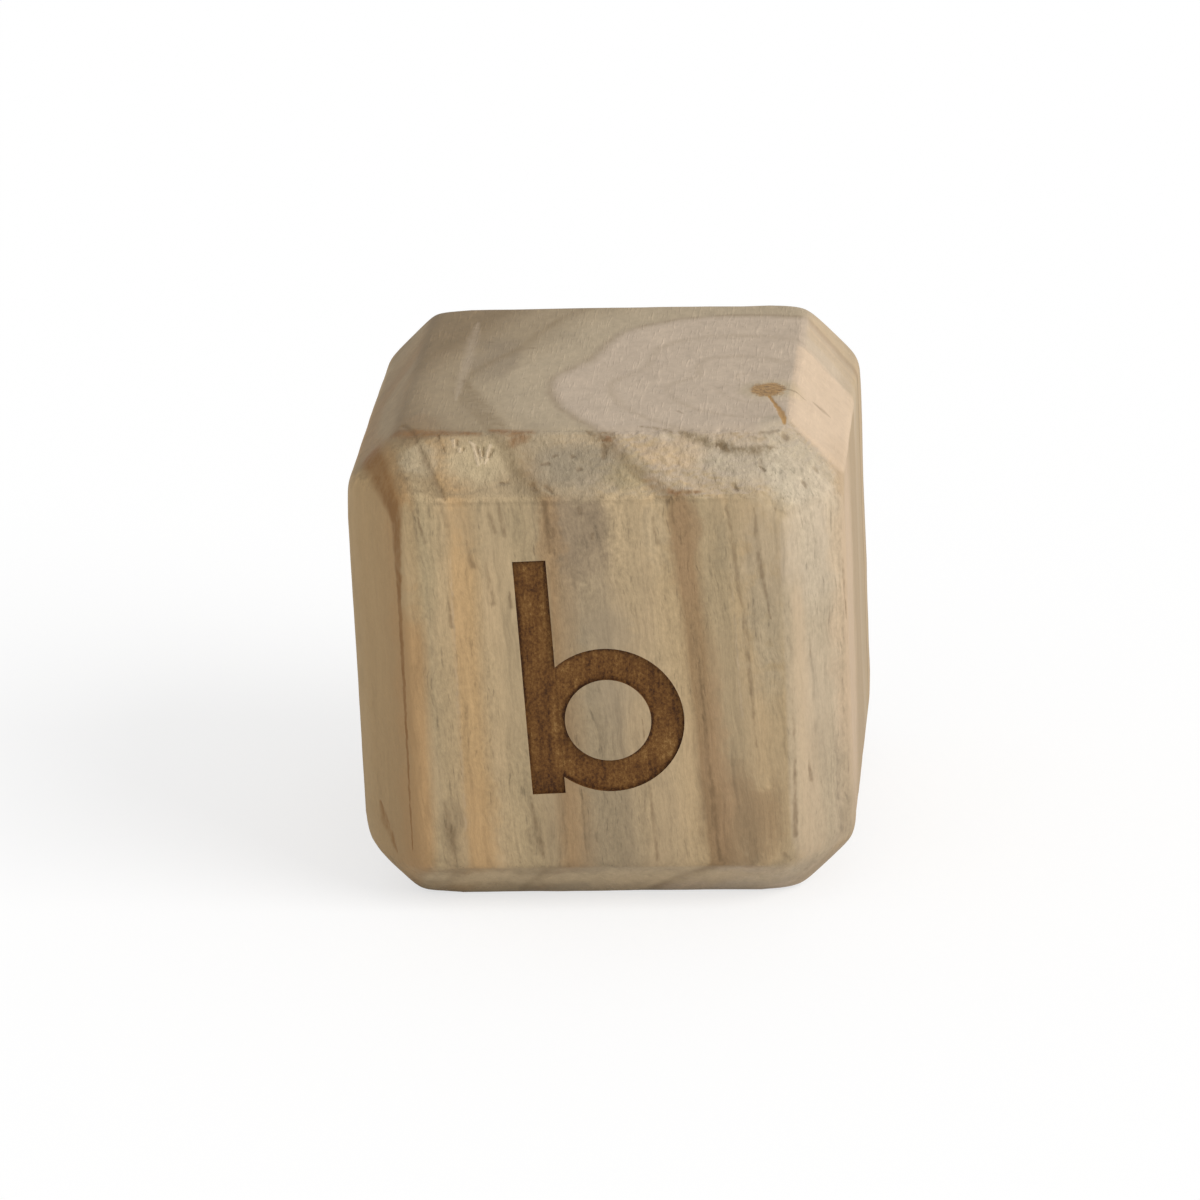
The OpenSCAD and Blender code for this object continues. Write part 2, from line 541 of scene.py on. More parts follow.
def cut_letter(blank, burnt):
    """Sink the letter into the front face; the cut takes the burnt finish."""
    into_place = Matrix.Translation(MIDDLE + LETTER_PLACE * MM)
    lean = Matrix.Rotation(-LETTER_LEAN, 4, "Y")
    for cutter in (letter_bar(), letter_ring()):
        cutter.data.transform(into_place @ lean)
        cutter.data.materials.append(burnt)
        cut = blank.modifiers.new("letter", "BOOLEAN")
        cut.operation = "DIFFERENCE"
        cut.solver = "EXACT"
        cut.material_mode = "TRANSFER"
        cut.object = cutter
        finish_modifiers(blank)
        bpy.data.objects.remove(cutter)


# ---------------------------------------------------------------- shader sheets
def paint_colour(red, green, blue):
    """A paint colour as read off a screen, 0 to 255, for a shader's own scale."""
    linear = [((part / 255 + 0.055) / 1.055) ** 2.4 for part in (red, green, blue)]
    return (*linear, 1)


def grey(level):
    """A plain grey on a shader's own scale: 0 is black and 1 is white."""
    return (level, level, level, 1)


class Wire:
    """One socket of a sheet; an expression on wires adds the sheet's maths nodes."""

    def __init__(self, sheet, socket):
        self.sheet = sheet
        self.socket = socket
        self.is_vector = socket.type != "VALUE"

    def reckon(self, operation, first, second):
        """Join two values, each a number or a vector, by one maths node."""
        if is_number(first) and is_number(second):
            return self.sheet.node("ShaderNodeMath", {"operation": operation},
                                   {0: first, 1: second})
        if operation == "MULTIPLY" and (is_number(first) or is_number(second)):
            vector, scale = (second, first) if is_number(first) else (first, second)
            return self.sheet.node("ShaderNodeVectorMath", {"operation": "SCALE"},
                                   {0: vector, "Scale": scale})
        return self.sheet.node("ShaderNodeVectorMath", {"operation": operation},
                               {0: first, 1: second})

    def __add__(self, other):
        return self.reckon("ADD", self, other)

    def __radd__(self, other):
        return self.reckon("ADD", other, self)

    def __sub__(self, other):
        return self.reckon("SUBTRACT", self, other)

    def __rsub__(self, other):
        return self.reckon("SUBTRACT", other, self)

    def __mul__(self, other):
        return self.reckon("MULTIPLY", self, other)

    def __rmul__(self, other):
        return self.reckon("MULTIPLY", other, self)

    def __truediv__(self, other):
        if is_number(other) and not isinstance(other, Wire):
            return self.reckon("MULTIPLY", self, 1 / other)
        return self.reckon("DIVIDE", self, other)

    def __pow__(self, other):
        return self.reckon("POWER", self, other)

    def __abs__(self):
        return self.sheet.node("ShaderNodeMath", {"operation": "ABSOLUTE"}, {0: self})

    def lesser(self, other):
        """The smaller of two."""
        return self.reckon("MINIMUM", self, other)

    def greater(self, other):
        """The larger of two."""
        return self.reckon("MAXIMUM", self, other)

    def dot(self, direction):
        """How far a vector runs in some direction."""
        return self.sheet.node("ShaderNodeVectorMath", {"operation": "DOT_PRODUCT"},
                               {0: self, 1: direction}, out="Value")

    def length(self):
        """How long a vector is."""
        return self.sheet.node("ShaderNodeVectorMath", {"operation": "LENGTH"},
                               {0: self}, out="Value")

    def parts(self):
        """A vector's three numbers, each as a wire."""
        split = self.sheet.node("ShaderNodeSeparateXYZ", {}, {0: self})
        return [Wire(self.sheet, socket) for socket in split.socket.node.outputs]

    def ease(self, start, end):
        """0 at start, 1 at end, smooth between; start may be the larger."""
        return self.sheet.node("ShaderNodeMapRange", {"interpolation_type": "SMOOTHSTEP"},
                               {"Value": self, "From Min": start, "From Max": end})

    def held(self):
        """Kept from 0 to 1."""
        return self.sheet.node("ShaderNodeClamp", {}, {"Value": self})


def is_number(side):
    """Whether a side of an expression is one number, and not a vector or a colour."""
    return isinstance(side, (int, float)) or (isinstance(side, Wire) and not side.is_vector)


class Sheet:
    """The nodes of one material, or of the world."""

    def __init__(self, owner):
        owner.use_nodes = True
        self.owner = owner
        self.tree = owner.node_tree
        self.shader = self.tree.nodes.get("Principled BSDF")

    def node(self, kind, settings, inputs, out=0):
        """Add one node: its settings first, then its sockets, each a value or a wire."""
        node = self.tree.nodes.new(kind)
        for name, setting in settings.items():
            if name == "stops":
                self.set_stops(node.color_ramp, setting)
            else:
                setattr(node, name, setting)
        for name, value in inputs.items():
            self.feed(node.inputs[name], value)
        return Wire(self, node.outputs[out])

    def set_stops(self, ramp, stops):
        """Give a colour ramp its stops, each a position from 0 to 1 and a colour."""
        ramp.interpolation = "LINEAR"
        while len(ramp.elements) < len(stops):
            ramp.elements.new(1)
        for element, (position, colour) in zip(ramp.elements, stops):
            element.position = position
            element.color = colour

    def feed(self, socket, value):
        """Set a socket to a value, or join a wire to it."""
        if isinstance(value, Wire):
            self.tree.links.new(value.socket, socket)
        else:
            socket.default_value = value

    def place(self):
        """Where a point of the wood is, in mm from the block's middle."""
        return (self.node("ShaderNodeTexCoord", {}, {}, out="Object") - MIDDLE) / MM

    def facing(self):
        """Which way the surface faces."""
        return self.node("ShaderNodeTexCoord", {}, {}, out="Normal")

    def noise(self, place, size, detail, roughness=0.5):
        """Soft noise from about 0.2 to 0.8, with lumps of the given size in mm."""
        return self.node("ShaderNodeTexNoise", {},
                         {"Vector": place, "Scale": 1 / size, "Detail": detail,
                          "Roughness": roughness}, out="Fac")

    def sway(self, place, lumps):
        """Soft noise round 0 in all three directions, with this many lumps to the mm."""
        colour = self.node("ShaderNodeTexNoise", {},
                           {"Vector": place, "Scale": lumps, "Detail": 1}, out="Color")
        return colour - (0.5, 0.5, 0.5)

    def blend(self, first, second, factor):
        """The first colour where the factor is 0, the second where it is 1."""
        # A mix node has sockets for each kind of value; 6 and 7 take its colours, and 2 gives one
        return self.node("ShaderNodeMix", {"data_type": "RGBA"},
                         {0: factor, 6: first, 7: second}, out=2)

    def ramp(self, value, span, stops):
        """A colour by value: stops are (value, colour), spread over 0 to span."""
        spread = [(at / span, colour) for at, colour in stops]
        return self.node("ShaderNodeValToRGB", {"stops": spread}, {0: value / span})

    def oval(self, place, middle, reach):
        """Distance from an oval's middle: 1 all round at its reach in mm each way."""
        inverse = tuple(1 / part for part in reach)
        return ((place - Vector(middle)) * inverse).length()

    def patch(self, place, middle, reach):
        """1 in the middle of an oval, fading to 0 at its reach."""
        return self.oval(place, middle, reach).ease(1.05, 0.45)

    def lines(self, place, lines, softness):
        """1 on some lines and 0 away from them, fading softness half widths each way."""
        nearest = None
        for start, end, start_width, end_width in stretches(lines):
            along = end - start
            gone = place - start
            share = gone.dot(along / along.length_squared).held()
            half_width = start_width / 2 + share * ((end_width - start_width) / 2)
            distance = (gone - share * along).length() / half_width
            nearest = distance if nearest is None else nearest.lesser(distance)
        return nearest.ease(1 + softness, 1 - softness)


# ---------------------------------------------------------------- the wood
# Middle of the growth rings, seen from above
PITH = (15.3, -7.2)
# How far the grain on the right runs out to the right with each mm downwards
DRIFT = 0.07
# How far the rings lie inside true circles round the pith in front, waver, and lie inside behind
CROWDED_FRONT = 3.6
WAVE = 1.6
RIPPLE = 0.5
PRESSED_BACK_LEFT = 2.2
PRESSED_BACK_RIGHT = 3.3
# Distance from the pith that the ramps below cover
SPAN = 50

TAN = paint_colour(178, 153, 117)
HONEY = paint_colour(181, 149, 107)
PALE = paint_colour(182, 157, 121)
LIGHT_TAN = paint_colour(175, 152, 119)
GREY = paint_colour(157, 138, 110)
GREY_TAN = paint_colour(173, 151, 117)
BROWN = paint_colour(148, 121, 88)
GREENISH = paint_colour(166, 145, 113)
ORANGE_BROWN = paint_colour(165, 133, 93)
# SIDE_TAN, the far left's tan, is painted darker and browner: partly the wood, partly painted shade
# on the side turned from the light
SIDE_TAN = paint_colour(168, 141, 103)
RIGHT_TAN = paint_colour(159, 137, 107)
FRESH = paint_colour(189, 168, 142)
WORN_GREEN = paint_colour(177, 160, 134)

# Colours of the sides, by distance from the pith
LONG_BANDS = [
    (13.2, RIGHT_TAN), (13.8, FRESH), (14.3, WORN_GREEN), (16.0, WORN_GREEN), (16.8, GREY_TAN),
    (17.6, GREENISH), (17.9, GREENISH), (18.05, TAN), (18.3, PALE), (18.5, GREENISH),
    (19.0, GREENISH), (19.5, BROWN), (20.15, BROWN), (20.4, TAN), (20.9, PALE), (21.8, LIGHT_TAN),
    (23.1, LIGHT_TAN), (23.9, GREY), (25.2, GREY), (26.6, BROWN), (27.4, GREENISH),
    (29.6, GREY_TAN), (31.2, PALE), (32.3, HONEY), (33.3, HONEY), (33.8, TAN), (35.4, GREY_TAN),
    (36.2, ORANGE_BROWN), (37.6, ORANGE_BROWN), (38.6, SIDE_TAN), (42.0, GREY_TAN),
    (44.0, SIDE_TAN),
]

END_TAUPE = paint_colour(184, 166, 145)
END_CREAM = paint_colour(170, 153, 127)
END_TAN = paint_colour(151, 133, 106)
END_OLIVE = paint_colour(128, 109, 82)
# Colours of the end grain, by distance from the pith
END_BANDS = [
    (3, END_TAUPE), (19.4, END_TAUPE), (20.4, END_CREAM), (23, END_CREAM), (28.5, END_TAN),
    (30, END_TAN), (34, END_OLIVE), (50, END_OLIVE),
]
RING_LINE = paint_colour(126, 107, 78)

# Each ring's dark line: distance from the pith, width in towards the pith, and strength
RINGS = [
    (4.6, 0.6, 0.15), (9.3, 0.9, 0.2), (14.5, 1.0, 0.22), (20.0, 1.3, 0.55),
    (27.8, 1.2, 0.6), (34.1, 1.3, 0.4), (38.4, 1.2, 0.3), (43.5, 1.2, 0.3),
]
# The line is darkest this far short of the ring, and gone this far past it
RING_DARKEST = 0.15
RING_GONE = 0.45

# A place's finish fades in between these: depth under a bevel's plane, how far out at a corner,
# and how far to the right on the right face
BEVEL_FADE = (0.5, 0.2)
CORNER_FADE = (31.7, 32.2)
RIGHT_FADE = (21.9, 22.3)
# Pale colour of the top right bevel: partly the cleaner fresh cut, partly painted sheen from the
# key light
CLEAN_BEVEL_AND_SHEEN = paint_colour(203, 179, 152)
CLEAN_CORNER = paint_colour(182, 168, 146)
FRONT_RIGHT_BEVEL = paint_colour(172, 154, 129)

# Lightness of the sides at mid height, and how much it grows with each mm upwards: painted shade
# that darkens the sides towards the foot, as light falls off downwards
SIDE_LIGHTNESS = 1.08
PAINTED_LIGHT_UPWARDS = 0.004

# Ovals: middle and reach
ROUGH_SPOT = ((-0.8, -22.5, 14.0), (5.0, 2.0, 9.0))
PITH_SPOT = ((15.3, -7.4, HALF), (1.7, 1.9, 3.0))
PITH_HALO = ((15.6, -7.4, HALF), (3.6, 3.4, 3.0))
RESIN = paint_colour(166, 127, 74)
RESIN_DARK = paint_colour(110, 78, 36)
# Dark brown of scars, cracks, specks and pits, also used as painted shadow in the chips
SCAR_AND_PAINTED_SHADOW = paint_colour(100, 78, 52)
DARK_KNOT = paint_colour(104, 82, 52)
STRIPE_BROWN = paint_colour(134, 97, 56)
EDGE_BROWN = paint_colour(134, 97, 60)
# Painted highlight on the chips' ridges
CHIP_HIGHLIGHT = paint_colour(210, 188, 158)
PEACH = paint_colour(192, 168, 138)

# Oval stains and patches of painted light and shade: middle, reach, colour as for paint_colour, and
# strength
STAINS_AND_PAINTED_SHADING = [
    # On the front top bevel
    ((-0.8, -20.2, 20.2), (5.2, 3.0, 3.0), (141, 128, 108), 0.75),
    ((7.3, -19.5, 20.8), (4.2, 1.7, 1.7), (190, 163, 128), 0.45),
    ((3.6, -20.8, 19.2), (2.2, 2.0, 2.0), (150, 134, 100), 0.5),
    ((7.5, -22.3, 17.9), (2.5, 0.8, 0.8), (130, 108, 78), 0.4),
    ((-15.4, -19.5, 20.5), (2.4, 2.4, 2.4), (182, 166, 138), 0.5),
    ((-9.8, -19.8, 20.2), (4.4, 2.6, 2.6), (182, 163, 130), 0.75),
    ((-6.3, -18.2, 21.9), (1.0, 0.8, 0.8), (138, 108, 72), 0.45),
    ((1.7, -18.2, 21.8), (0.6, 0.6, 0.6), (154, 96, 54), 0.8),
    ((14.0, -20.2, 20.2), (5.5, 3.0, 3.0), (176, 162, 140), 0.55),
    # On top
    # A darker patch over the left of the top
    ((-10.3, 2.5, 22.5), (3.0, 8.5, 3.0), (134, 118, 96), 0.6),
    ((-16.5, -16.0, 22.5), (3.0, 4.0, 2.0), (138, 115, 86), 0.5),
    ((16.6, -16.2, 22.3), (2.4, 2.6, 1.5), (170, 156, 134), 0.6),
    # On the front
    ((-0.8, -22.5, 15.0), (3.4, 1.0, 6.5), (136, 118, 95), 0.7),
    ((-3.5, -22.5, 14.0), (1.5, 1.0, 6.5), (154, 126, 92), 0.6),
    ((-9.6, -22.5, 15.0), (4.5, 1.0, 5.0), (158, 139, 109), 0.45),
    ((15.4, -22.5, 8.0), (3.0, 1.0, 13.0), (176, 158, 131), 0.6),
    ((12.6, -22.5, 15.0), (1.4, 1.0, 6.0), (156, 138, 110), 0.5),
    ((6.0, -22.5, 15.0), (1.8, 1.0, 6.0), (184, 162, 130), 0.5),
    ((1.0, -22.5, 2.0), (3.0, 1.0, 9.0), (150, 134, 110), 0.45),
    ((-14.0, -22.5, -14.5), (1.2, 1.0, 5.5), (146, 125, 96), 0.4),
    ((-6.0, -22.5, -14.5), (1.5, 1.0, 4.5), (148, 127, 97), 0.35),
    ((12.6, -22.5, -13.5), (4.5, 1.0, 7.0), (140, 113, 82), 0.6),
    ((-11.0, -22.5, -14.0), (2.0, 1.0, 9.0), (178, 144, 100), 0.35),
    ((-2.8, -22.5, -14.0), (1.5, 1.0, 9.0), (174, 144, 106), 0.35),
    ((8.6, -22.5, 13.0), (1.7, 1.0, 7.0), (158, 128, 95), 0.5),
    ((10.8, -22.5, -8.0), (1.5, 1.0, 12.0), (168, 138, 104), 0.4),
    # On the bevels at the right, the foot and the left of the front
    # The front right bevel is painted lighter at its top and darker at its foot: painted light and
    # shade falling off downwards
    ((19.5, -20.0, 13.0), (4.0, 4.0, 9.0), (188, 171, 148), 0.6),
    ((19.6, -19.6, -15.0), (4.0, 4.0, 13.0), (156, 138, 113), 0.45),
    ((-3.0, -21.0, -20.6), (27.0, 2.6, 2.6), (187, 166, 133), 0.7),
    # The front left bevel is painted darker and browner: partly the wood, partly painted shade on
    # the side turned from the light
    ((-20.0, -20.0, 0.0), (3.2, 3.2, 40.0), (164, 137, 99), 0.65),
    # On the front beside the left bevel
    ((-16.0, -22.5, 13.0), (3.0, 1.5, 9.0), (166, 147, 114), 0.6),
    # On the right
    # Painted shade: the right face is painted darker towards its back edge
    ((22.5, 16.0, 4.0), (3.0, 14.0, 30.0), (150, 132, 106), 0.35),
    ((22.5, 5.0, -1.0), (2.5, 7.0, 26.0), (160, 138, 108), 0.7),
    ((22.5, -13.0, 2.0), (3.0, 8.5, 24.0), (184, 160, 132), 0.85),
]

# How each mark is painted: colour, strength, softness, and how far noise breaks it up from 0 to 1
MARKS = [
    (RESIN_CRACK, RESIN, 0.9, 0.4, 0.0),
    (PITH_LINES, SCAR_AND_PAINTED_SHADOW, 0.4, 0.5, 0.5),
    (LIGHT_STREAK, END_TAUPE, 0.35, 0.95, 0.3),
    (RING_ARC, RING_LINE, 0.7, 0.9, 0.8),
    (EDGE_LINE, EDGE_BROWN, 0.75, 0.95, 0.45),
    (KNOT_MARKS, DARK_KNOT, 0.65, 0.9, 0.8),
    (SPECKS, SCAR_AND_PAINTED_SHADOW, 0.4, 0.8, 0.3),
    (RING_SHADE, RING_LINE, 0.6, 0.95, 0.5),
    # Painted highlight on the chips' ridges and painted shadow in the grooves between them
    (CHIP_RIDGES, CHIP_HIGHLIGHT, 0.7, 0.7, 0.1),
    (CHIPS, SCAR_AND_PAINTED_SHADOW, 0.35, 0.8, 0.2),
    (PITS, SCAR_AND_PAINTED_SHADOW, 0.45, 0.7, 0.2),
    (RING_GROOVES, SCAR_AND_PAINTED_SHADOW, 0.4, 0.9, 0.6),
    (PEACH_BAND, PEACH, 0.55, 0.7, 0.3),
    (CORNER_CRACKS, SCAR_AND_PAINTED_SHADOW, 0.55, 0.8, 0.8),
    (FOOT_MARK, STRIPE_BROWN, 0.7, 0.9, 0.6),
    (LEFT_STRIPE, STRIPE_BROWN, 0.9, 0.5, 0.25),
    (FRONT_LINES, SCAR_AND_PAINTED_SHADOW, 0.5, 0.9, 0.7),
    (PALE_LINES, FRESH, 0.35, 0.9, 0.6),
]

# Colours of the burn, from its darkest to its lightest
BURN_BANDS = [
    (0, paint_colour(60, 32, 6)), (0.4, paint_colour(101, 65, 26)),
    (0.7, paint_colour(123, 86, 42)), (1.0, paint_colour(154, 118, 69)),
]
PINE_ROUGHNESS = 0.68
BURN_ROUGHNESS = 0.75
WOOD_GLOSS = 0.25


def growth(sheet, place):
    """Distance from the pith by its rings, which crowd in front, wave and are pressed in behind."""
    x, y, z = place.parts()
    across = x - PITH[0] - DRIFT * x.ease(-10, 8) * (HALF - z)
    away = y - PITH[1]
    radius = (across * across + away * away) ** 0.5
    aside = across / radius.greater(1)
    behind = away / radius.greater(1)
    wave = (sheet.noise(place * (1, 1, 0.1), 9, detail=1.5) - 0.5) * radius.ease(16, 30)
    ripple = sheet.noise(place * (1, 1, 0.12), 1.6, detail=1.5) - 0.5
    rings = radius - CROWDED_FRONT * away / radius.greater(20) + WAVE * wave + RIPPLE * ripple
    back_left = PRESSED_BACK_LEFT * behind.ease(0.1, 0.5) * behind.ease(0.85, 0.5)
    rings = rings + back_left * aside.ease(-0.2, -0.7)
    return rings + PRESSED_BACK_RIGHT * aside.ease(-0.7, 0.35) * behind.ease(0, 0.6)


def bevel(place, first, second):
    """1 on the bevel between two faces."""
    outward, reach = bevel_plane(first, second)
    start, end = BEVEL_FADE
    return place.dot(outward).ease(reach - start, reach - end)


def sanded_corner(place, *names):
    """1 on a corner, where three bevels meet."""
    return place.dot(corner_heading(names)).ease(*CORNER_FADE)


def clean_wood(sheet, place, worn, rings, ends):
    """The wood's colours before its grain: bands, then cleaner, greyer and stained places, with
    painted sheen on the top right bevel and painted light and shade on some bevels and the right
    face.
    """
    long_colour = sheet.ramp(rings, SPAN, LONG_BANDS)
    colour = sheet.blend(long_colour, sheet.ramp(rings, SPAN, END_BANDS), ends)
    cleaned = worn.dot((0, 1, -0.3)).ease(-0.6, -1.8)
    # The top right bevel is painted paler: partly the cleaner fresh cut, partly painted sheen from
    # the key light
    fresh_cut_and_sheen = bevel(place, "top", "right") * (0.2 + 0.8 * cleaned)
    colour = sheet.blend(colour, CLEAN_BEVEL_AND_SHEEN, 0.8 * fresh_cut_and_sheen)
    corner = sanded_corner(place, "right", "front", "top")
    colour = sheet.blend(colour, CLEAN_CORNER, 0.7 * corner)
    colour = sheet.blend(colour, FRONT_RIGHT_BEVEL, 0.65 * bevel(place, "front", "right"))
    # Stains, and patches of painted light and shade, blended over the colour
    for middle, reach, stain_and_shade, strength in STAINS_AND_PAINTED_SHADING:
        patch = sheet.patch(worn, middle, reach)
        colour = sheet.blend(colour, paint_colour(*stain_and_shade), strength * patch)
    return colour


def long_grain(sheet, place, wavy):
    """How light the sides are, as a factor on their colour with painted shade towards the foot, how
    sandy, and their relief.
    """
    coarse = sheet.noise(wavy * (1, 1, 0.06), 1.2, detail=3, roughness=0.6)
    blotch = sheet.noise(wavy * (1, 1, 0.35), 1.1, detail=3, roughness=0.65)
    fine = sheet.noise(wavy * (1, 1, 0.14), 0.26, detail=2, roughness=0.6)
    sandy = sheet.noise(wavy * (1, 1, 0.6), 0.34, detail=2, roughness=0.7)
    hairline = abs(sheet.noise(wavy * (1, 1, 0.05), 1.5, detail=1) - 0.5).ease(0.025, 0.0)
    streak = sheet.noise(wavy * (1, 1, 0.07), 0.75, detail=1.5).ease(0.56, 0.7)
    fleck = sheet.noise(wavy * (1, 1, 0.14), 0.28, detail=1.5, roughness=0.6).ease(0.6, 0.72)
    patch = sheet.noise(wavy * (1, 1, 0.22), 4.2, detail=1.5).ease(0.4, 0.62)
    rough = sheet.patch(place, *ROUGH_SPOT)
    vary = 0.5 * (coarse - 0.5) + 0.26 * (blotch - 0.5)
    vary = vary + 0.2 * (fine - 0.5) + 0.24 * (sandy - 0.5)
    vary = vary - 0.13 * streak - 0.08 * hairline * coarse.ease(0.3, 0.6)
    vary = vary + patch * (0.3 * (sandy - 0.5) - 0.26 * fleck)
    vary = vary + rough * (0.5 * (sandy - 0.5) + 0.4 * (blotch - 0.5))
    calm = bevel(place, "front", "left").greater(bevel(place, "top", "right"))
    calm = calm.greater(place.dot(FACES["right"]).ease(*RIGHT_FADE))
    # Painted shade: the sides are painted lighter upwards and darker towards the foot
    light = SIDE_LIGHTNESS + PAINTED_LIGHT_UPWARDS * place.dot(FACES["top"])
    shade = light * (1 + vary * (1 - 0.65 * calm))
    return shade, patch * (1 - calm), 0.03 * (fine + sandy)


def end_grain(sheet, place):
    """How light the ends are, as a factor on their colour, how cloudy, and their relief."""
    hair = sheet.noise(place * (1, 0.1, 1), 0.24, detail=1).ease(0.52, 0.76)
    speck = sheet.noise(place, 0.5, detail=1).ease(0.68, 0.78)
    cloud = sheet.noise(place * (1, 0.6, 1), 3.2, detail=3, roughness=0.6)
    mottle = sheet.noise(place * (1, 0.5, 1), 0.7, detail=3, roughness=0.7) - 0.5
    shade = (1 + 0.45 * mottle + 0.3 * (cloud - 0.5)) * (1 + 0.14 * hair * cloud.ease(0.3, 0.6))
    return shade * (1 - 0.15 * speck), cloud, 0.03 * hair


def ring_lines(sheet, rings):
    """How strong the rings' dark lines are."""
    stops = []
    for edge, width, strength in RINGS:
        stops.append((edge - width, grey(0)))
        stops.append((edge - RING_DARKEST, grey(strength)))
        stops.append((edge + RING_GONE, grey(0)))
    return sheet.ramp(rings, SPAN, stops).dot((1 / 3, 1 / 3, 1 / 3))


def wood(sheet, place, wavy, worn):
    """The pine's colour and its relief in mm."""
    upright = abs(sheet.facing().parts()[2])
    ends = upright.ease(0.45, 0.95)
    rings = growth(sheet, place)
    long_shade, patch, long_relief = long_grain(sheet, place, wavy)
    end_shade, cloud, end_relief = end_grain(sheet, place)
    colour = clean_wood(sheet, place, worn, rings, ends)
    colour = sheet.blend(colour, colour * (0.95, 0.96, 0.95), patch * (1 - ends))
    colour = colour * (long_shade + ends * (end_shade - long_shade))
    line = ring_lines(sheet, rings)
    line = line * (0.45 + 0.55 * cloud.ease(0.35, 0.6)) * upright.ease(0.3, 0.7)
    line = line * (1 - 0.8 * bevel(place, "top", "right"))
    colour = sheet.blend(colour, RING_LINE, line)
    return colour, long_relief + ends * (end_relief - long_relief)


def torn_wood(sheet, place, tear, colour, relief):
    """Colour and relief with the torn end grain of the front top bevel and its right corner."""
    torn = bevel(place, "front", "top").greater(sanded_corner(place, "right", "front", "top"))
    grit = sheet.noise(place * (1, 0.5, 0.5), 0.24, detail=1.5, roughness=0.6)
    zone = sheet.noise(place, 2.4, detail=1).ease(0.35, 0.6)
    pit = grit.ease(0.36, 0.24) * torn * zone
    grain = grit.ease(0.6, 0.74) * torn
    colour = colour * (1 + torn * (0.5 * (tear - 0.5)) + 0.12 * grain)
    colour = sheet.blend(colour, SCAR_AND_PAINTED_SHADOW, 0.28 * pit)
    return colour, relief + torn * (0.2 * tear + 0.08 * grit)


def pith_colour(sheet, place, warped, tear, colour):
    """The colour with the pith's resin spot and the yellower wood round it."""
    halo = sheet.patch(place, *PITH_HALO)
    colour = sheet.blend(colour, colour * (0.9, 0.9, 0.78), 0.7 * halo)
    spot = (sheet.oval(warped, *PITH_SPOT) + 1.2 * (tear - 0.5)).ease(1.15, 0.75)
    ray = sheet.noise(place * (0.6, 1, 1), 0.34, detail=3, roughness=0.75).ease(0.36, 0.58)
    return sheet.blend(colour, sheet.blend(RESIN_DARK, RESIN, ray), spot * (0.7 + 0.3 * tear))


def finish_sheet(sheet, colour, relief, roughness):
    """Join the colour and the relief, in mm, to the sheet's shader."""
    shader = sheet.shader
    sheet.feed(shader.inputs["Base Color"], colour)
    shader.inputs["Roughness"].default_value = roughness
    shader.inputs["Specular IOR Level"].default_value = WOOD_GLOSS
    normal = sheet.node("ShaderNodeBump", {}, {"Strength": 1, "Distance": MM, "Height": relief})
    sheet.feed(shader.inputs["Normal"], normal)


def pine_material():
    """Bare pine: wood, torn end grain, pith, and the marks that this block carries."""
    sheet = Sheet(bpy.data.materials.new("pine"))
    place = sheet.place()
    slow = sheet.sway(place, 0.3)
    quick = sheet.sway(place, 1.3)
    # The same place, moved a little for the marks, sideways for the grain, and more for stains
    warped = place + quick * 0.3
    wavy = place + slow * (0.9, 0.9, 0) + place.dot(FACES["top"]) * Vector((0.05, 0, 0))
    worn = place + quick * 1.2 + slow * 3.0
    tear = sheet.noise(place * (1, 0.6, 0.6), 1.1, detail=4, roughness=0.75)

    colour, relief = wood(sheet, place, wavy, worn)
    colour, relief = torn_wood(sheet, place, tear, colour, relief)
    colour = pith_colour(sheet, place, warped, tear, colour)
    uneven = sheet.noise(place * (1, 1, 0.35), 0.7, detail=2, roughness=0.7).ease(0.36, 0.6)
    for lines, mark, strength, softness, broken in MARKS:
        shape = sheet.lines(warped, lines, softness)
        colour = sheet.blend(colour, mark, strength * shape * ((1 - broken) + broken * uneven))
    finish_sheet(sheet, colour, relief, PINE_ROUGHNESS)
    return sheet.owner


def burnt_material():
    """Pine burnt brown in the letter, darker here and there at its rim, partly char and partly
    painted shade of the recess, with the grain showing.
    """
    sheet = Sheet(bpy.data.materials.new("burnt_pine"))
    place = sheet.place()
    local = place - LETTER_PLACE
    across = local.dot((cos(LETTER_LEAN), 0, sin(LETTER_LEAN)))
    up = local.dot((-sin(LETTER_LEAN), 0, cos(LETTER_LEAN)))
    bar = (STROKE / 2 - abs(across - BAR_ACROSS)).lesser(LETTER_HEIGHT / 2 - abs(up))
    from_middle = ((across - BOWL_MIDDLE[0]) ** 2 + (up - BOWL_MIDDLE[1]) ** 2) ** 0.5
    bowl = STROKE / 2 - abs(from_middle - (BOWL_ACROSS - STROKE) / 2)
    inside = bar.greater(bowl)
    scorch = sheet.noise(place, 3.5, detail=2)
    # Darker rim: partly char, partly painted shade where the recess meets the face
    rim = inside.ease(0.45, 0.0) * scorch.ease(0.35, 0.6)
    streak = sheet.noise(place * (1, 1, 0.06), 0.6, detail=3, roughness=0.65)
    speckle = sheet.noise(place * (1, 1, 0.8), 0.22, detail=2, roughness=0.7)
    lightness = 0.46 + 1.1 * (streak - 0.5) + 1.4 * (speckle - 0.5)
    lightness = lightness + (scorch - 0.5) - 0.5 * rim
    colour = sheet.ramp(lightness, 1, BURN_BANDS)
    finish_sheet(sheet, colour, 0.05 * speckle + 0.04 * streak, BURN_ROUGHNESS)
    return sheet.owner


# ---------------------------------------------------------------- the block
def build_block():
    """Saw, sand, wear and burn the block, and tie it to its body."""
    block = sawn_blank()
    soften(block)
    weather(block)
    block.data.materials.append(pine_material())
    cut_letter(block, burnt_material())
    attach(block, "root")
    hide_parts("block")
    select_only(block)
    bpy.ops.object.shade_smooth_by_angle(angle=SMOOTH_UNDER)


